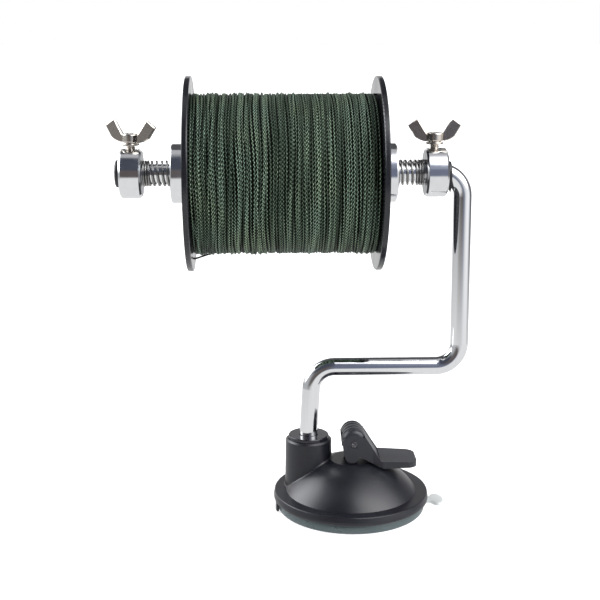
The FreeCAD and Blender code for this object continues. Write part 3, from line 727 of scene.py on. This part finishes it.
def tab_outline():
    """The tab's outline seen from above, anticlockwise, in millimetres."""
    half = list(TAB_WAIST)
    for step in range(TAB_STEPS + 1):
        angle = math.radians(TAB_OVAL_FROM * (1 - step / TAB_STEPS))
        half.append((TAB_OVAL_X + TAB_OVAL_LONG * math.cos(angle),
                     TAB_OVAL_WIDE * math.sin(angle)))
    return [(x, -y) for x, y in half[:-1]] + half[::-1]


def pull_tab():
    """A waisted tab with an oval end and rounded edges, on the lip's right side."""
    low, high = TAB_Z
    levels = ((low, 0.94), (low + 0.25, 1.0), (high - 0.5, 1.0),
              (high - 0.15, 0.95), (high, 0.86), (high, 0.5))
    waist_end = 36.0
    outline = tab_outline()
    points = []
    for z, shrink in levels:
        for x, y in outline:
            middle = TAB_OVAL_X if x > waist_end else x
            px = middle + (x - middle) * shrink
            py = y * shrink
            points.append(((px * math.cos(TAB_TURN) - py * math.sin(TAB_TURN)) * MM,
                           (px * math.sin(TAB_TURN) + py * math.cos(TAB_TURN)) * MM, z * MM))
    return points, capped_faces(len(levels) - 1, len(outline)), []


# ------------------------------------------------------------------- lever pin

def cross_depth(x, z, radius):
    """Depth of the crossed recess at a place on the pin's end."""
    one = abs(x + z) / math.sqrt(2)
    other = abs(x - z) / math.sqrt(2)
    narrow, wide = min(one, other), max(one, other)
    inside = narrow < CROSS_HALF_WIDTH * radius and wide < CROSS_REACH * radius
    return CROSS_DEPTH if inside else 0.0


def lever_pin(finish):
    """The lever's pivot pin, with a crossed recess pressed into each end."""
    low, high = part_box("lever_pin")
    centre = ((low.x + high.x) / 2, (low.z + high.z) / 2)
    radius = (high.x - low.x) / 2
    around = PIN_SIDES
    chamfer_from = 0.9
    centre_share = 0.001
    shares = (0.0, 0.12, 0.2, 0.3, 0.4, 0.5, 0.6, 0.7, 0.78, 0.9, 1.0)
    drops = [PIN_CHAMFER * max(0.0, s - chamfer_from) / (1.0 - chamfer_from) for s in shares]
    rows = [(low.y + drop, 1, s) for s, drop in zip(shares, drops)]
    rows += [(high.y - drop, -1, s) for s, drop in reversed(list(zip(shares, drops)))]
    points = []
    for y, inward, share in rows:
        for step in range(around):
            turn = 2 * math.pi * step / around
            x = radius * max(share, centre_share) * math.cos(turn)
            z = radius * max(share, centre_share) * math.sin(turn)
            points.append((centre[0] + x, y + inward * cross_depth(x, z, radius),
                           centre[1] + z))
    made = mesh_object("pivot_pin", points, ring_faces(len(rows) - 1, around), finish)
    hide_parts("lever_pin")
    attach(made, "stem")


# ------------------------------------------------------------ studio and camera

def ceiling(g, colour, x, y, height, z):
    """The room with a bright ceiling: white over the user, grey behind, up to a slanting line."""
    over = g.math("MAXIMUM", z, 0.02)
    across = g.math("DIVIDE", x, over)
    back = g.math("DIVIDE", y, over)
    edge = g.add(across, g.times(back, 0.347), 0.158)
    covered = g.times(g.step(height, 30.0, 36.0), g.step(edge, -0.05, 0.10),
                      g.step(back, 0.36, 0.28))
    return g.mix(covered, colour, g.mix(g.step(back, -0.5, -0.1), CEILING_WHITE, CEILING_GREY))


def studio_world():
    """A studio by direction: pale floor and walls, a dark room in front, two soft boxes."""
    world = bpy.data.worlds.new("studio")
    bpy.context.scene.world = world
    world.use_nodes = True
    g = Graph(world.node_tree)
    x, y, z = g.split(g.coordinate("Generated"))
    to_degrees = 180 / math.pi
    azimuth = g.times(g.math("ARCTAN2", x, g.times(y, -1.0)), to_degrees)
    height = g.times(g.math("ARCSINE", z), to_degrees)
    walls = g.ramp(azimuth, -180.0, 180.0, WALLS)
    upper = g.ramp(azimuth, -180.0, 180.0, UPPER_WALLS)
    colour = g.mix(g.step(height, 15.0, 26.0), walls, upper)
    colour = ceiling(g, colour, x, y, height, z)
    colour = g.mix(g.step(height, -7.0, -18.0), colour, FLOOR_GLOW)

    seen = g.node("ShaderNodeLightPath").outputs["Is Camera Ray"]
    unseen = g.math("SUBTRACT", 1.0, seen)
    left_box = g.toward((x, y, z), -112.0, 30.0, 7.0, 34.0)
    right_box = g.toward((x, y, z), 62.0, 44.0, 8.0, 42.0)
    boxes = g.add(g.times(left_box, LEFT_BOX), g.times(right_box, RIGHT_BOX))
    background = world.node_tree.nodes["Background"]
    g.put(background.inputs["Color"], g.mix(seen, colour, (1.0, 1.0, 1.0)))
    g.put(background.inputs["Strength"], g.add(1.0, g.times(boxes, unseen)))


def soft_light(name, azimuth, height, distance, size, power):
    """A square soft light that faces the stand's middle from a direction, in degrees."""
    data = bpy.data.lights.new(name, "AREA")
    data.size = size
    data.energy = power
    made = bpy.data.objects.new(name, data)
    turn, lift = math.radians(azimuth), math.radians(height)
    away = Vector((math.sin(turn) * math.cos(lift), -math.cos(turn) * math.cos(lift),
                   math.sin(lift)))
    made.location = Vector((0, 0, LIGHT_AIM_Z)) + away * distance
    made.rotation_euler = away.to_track_quat("Z", "Y").to_euler()
    bpy.context.scene.collection.objects.link(made)


def floor():
    """A plain pale floor that is lit evenly and takes a faint shadow."""
    made, g, shader = material("floor_white", Roughness=0.9)
    shade(g, shader, Base_Color=(0.7, 0.7, 0.7), Emission_Color=(1.0, 1.0, 1.0),
          Emission_Strength=0.72, Specular_IOR_Level=0.0)
    half = FLOOR_HALF
    corners = [(-half, -half, 0), (half, -half, 0), (half, half, 0), (-half, half, 0)]
    plane = mesh_object("floor", corners, [(0, 1, 2, 3)], made)
    plane.visible_glossy = False


def camera():
    """The camera, in front of the stand and a little above the axle."""
    data = bpy.data.cameras.new("camera")
    data.lens = LENS
    made = bpy.data.objects.new("camera", data)
    bpy.context.scene.collection.objects.link(made)
    ahead = Vector((math.sin(CAMERA_RIGHT) * math.cos(CAMERA_DOWN),
                    math.cos(CAMERA_RIGHT) * math.cos(CAMERA_DOWN), -math.sin(CAMERA_DOWN)))
    right = Vector((math.cos(CAMERA_RIGHT), -math.sin(CAMERA_RIGHT), 0))
    up = right.cross(ahead)
    made.matrix_world = Matrix(((right.x, up.x, -ahead.x, CAMERA_AT[0]),
                                (right.y, up.y, -ahead.y, CAMERA_AT[1]),
                                (right.z, up.z, -ahead.z, CAMERA_AT[2]), (0, 0, 0, 1)))
    bpy.context.scene.camera = made


def main():
    camera()
    studio_world()
    floor()
    soft_light("key_left", azimuth=-112.0, height=34.0, distance=0.9, size=0.5, power=1.2)
    finishes = paint_cad_nodes()
    winding(finishes["line"])
    tail(finishes["line"])
    for side_name in SIDES:
        spring(side_name, finishes["spring"])
        threaded_shank(side_name, finishes["nickel"])
    pad_crown(finishes["pad"])
    pad_lip(finishes["pad"])
    lever_pin(finishes["pin"])
    bpy.context.scene.view_settings.view_transform = "Standard"


main()
